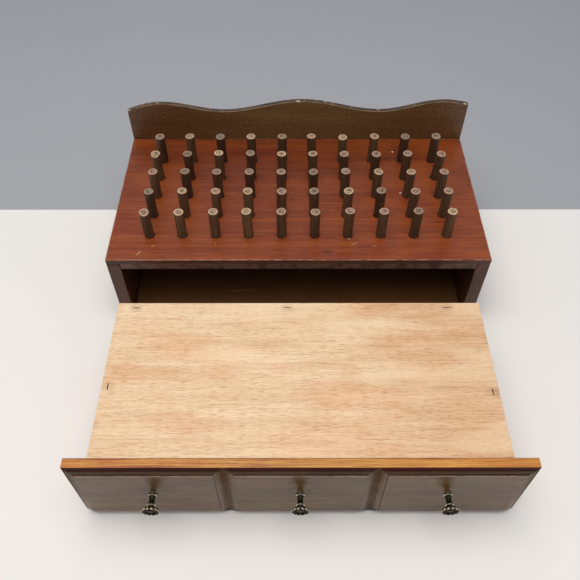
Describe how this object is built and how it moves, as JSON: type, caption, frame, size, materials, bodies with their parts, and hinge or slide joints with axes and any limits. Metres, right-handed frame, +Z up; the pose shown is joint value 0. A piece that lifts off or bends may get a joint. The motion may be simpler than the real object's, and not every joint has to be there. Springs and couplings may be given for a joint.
{
  "type": "bobbin box",
  "caption": "Wooden sewing box with rows of spool pegs on its top, a wavy back board, and a drawer with raised panels and small metal knobs, shown taken out and upside down.",
  "frame": {"origin": "middle of the underside of the case's bottom board, on the surface that the case stands on", "axes": "+Z up, the front of the case and of the drawer faces -Y, +X to the right as seen from the front"},
  "size_m": [0.305, 0.342, 0.1164],
  "materials": {
    "top_board": "satin red-brown varnish over fine straight grain, with pale scratches and a worn front edge",
    "case_boards": "satin dark brown varnish",
    "back_board": "satin dark olive-brown stain, with a pale worn top edge",
    "pegs": "dark olive-brown stain, with pale worn ends",
    "drawer_front": "satin greyish-brown varnish, with golden and maroon moulded edges",
    "drawer_walls": "bare light wood",
    "plywood": "bare pale plywood with fine grain",
    "knobs": "antiqued dark metal with bright worn edges",
    "staples": "dull dark steel",
    "steel": "dull steel"
  },
  "bodies": {
    "case": {"top_board": "top_board", "bottom_board": "case_boards", "left_side": "case_boards", "right_side": "case_boards", "wavy_back_board": "back_board", "peg_row_1": "pegs", "peg_row_2": "pegs", "peg_row_3": "pegs", "peg_row_4": "pegs", "peg_row_5": "pegs", "back_brad_1": "steel", "back_brad_2": "steel", "back_brad_3": "steel", "back_brad_4": "steel", "back_brad_5": "steel", "back_brad_6": "steel", "back_brad_7": "steel", "back_brad_8": "steel"},
    "middle_knob": {"middle_knob": "knobs", "middle_knob_screw": "steel"},
    "drawer": {"drawer_front": "drawer_front", "drawer_left_side": "drawer_walls", "drawer_right_side": "drawer_walls", "drawer_back": "drawer_walls", "drawer_bottom": "plywood", "left_knob": "knobs", "right_knob": "knobs", "left_knob_screw": "steel", "right_knob_screw": "steel", "drawer_brad_1": "steel", "drawer_brad_2": "steel", "drawer_brad_3": "steel", "drawer_brad_4": "steel", "bottom_staple_1": "staples", "bottom_staple_2": "staples", "bottom_staple_3": "staples", "bottom_staple_4": "staples", "bottom_staple_5": "staples"}
  },
  "joints": [
    {"name": "drawer_slide", "type": "slide", "parent": "case", "child": "middle_knob", "axis": [0, 1, 0], "range_m": [0, 0.1635]},
    {"name": "drawer_turn_over", "type": "hinge", "parent": "middle_knob", "child": "drawer", "pos_m": [0, -0.2397, 0.03715], "axis": [0, 1, 0], "range_deg": [0, 180]}
  ]
}
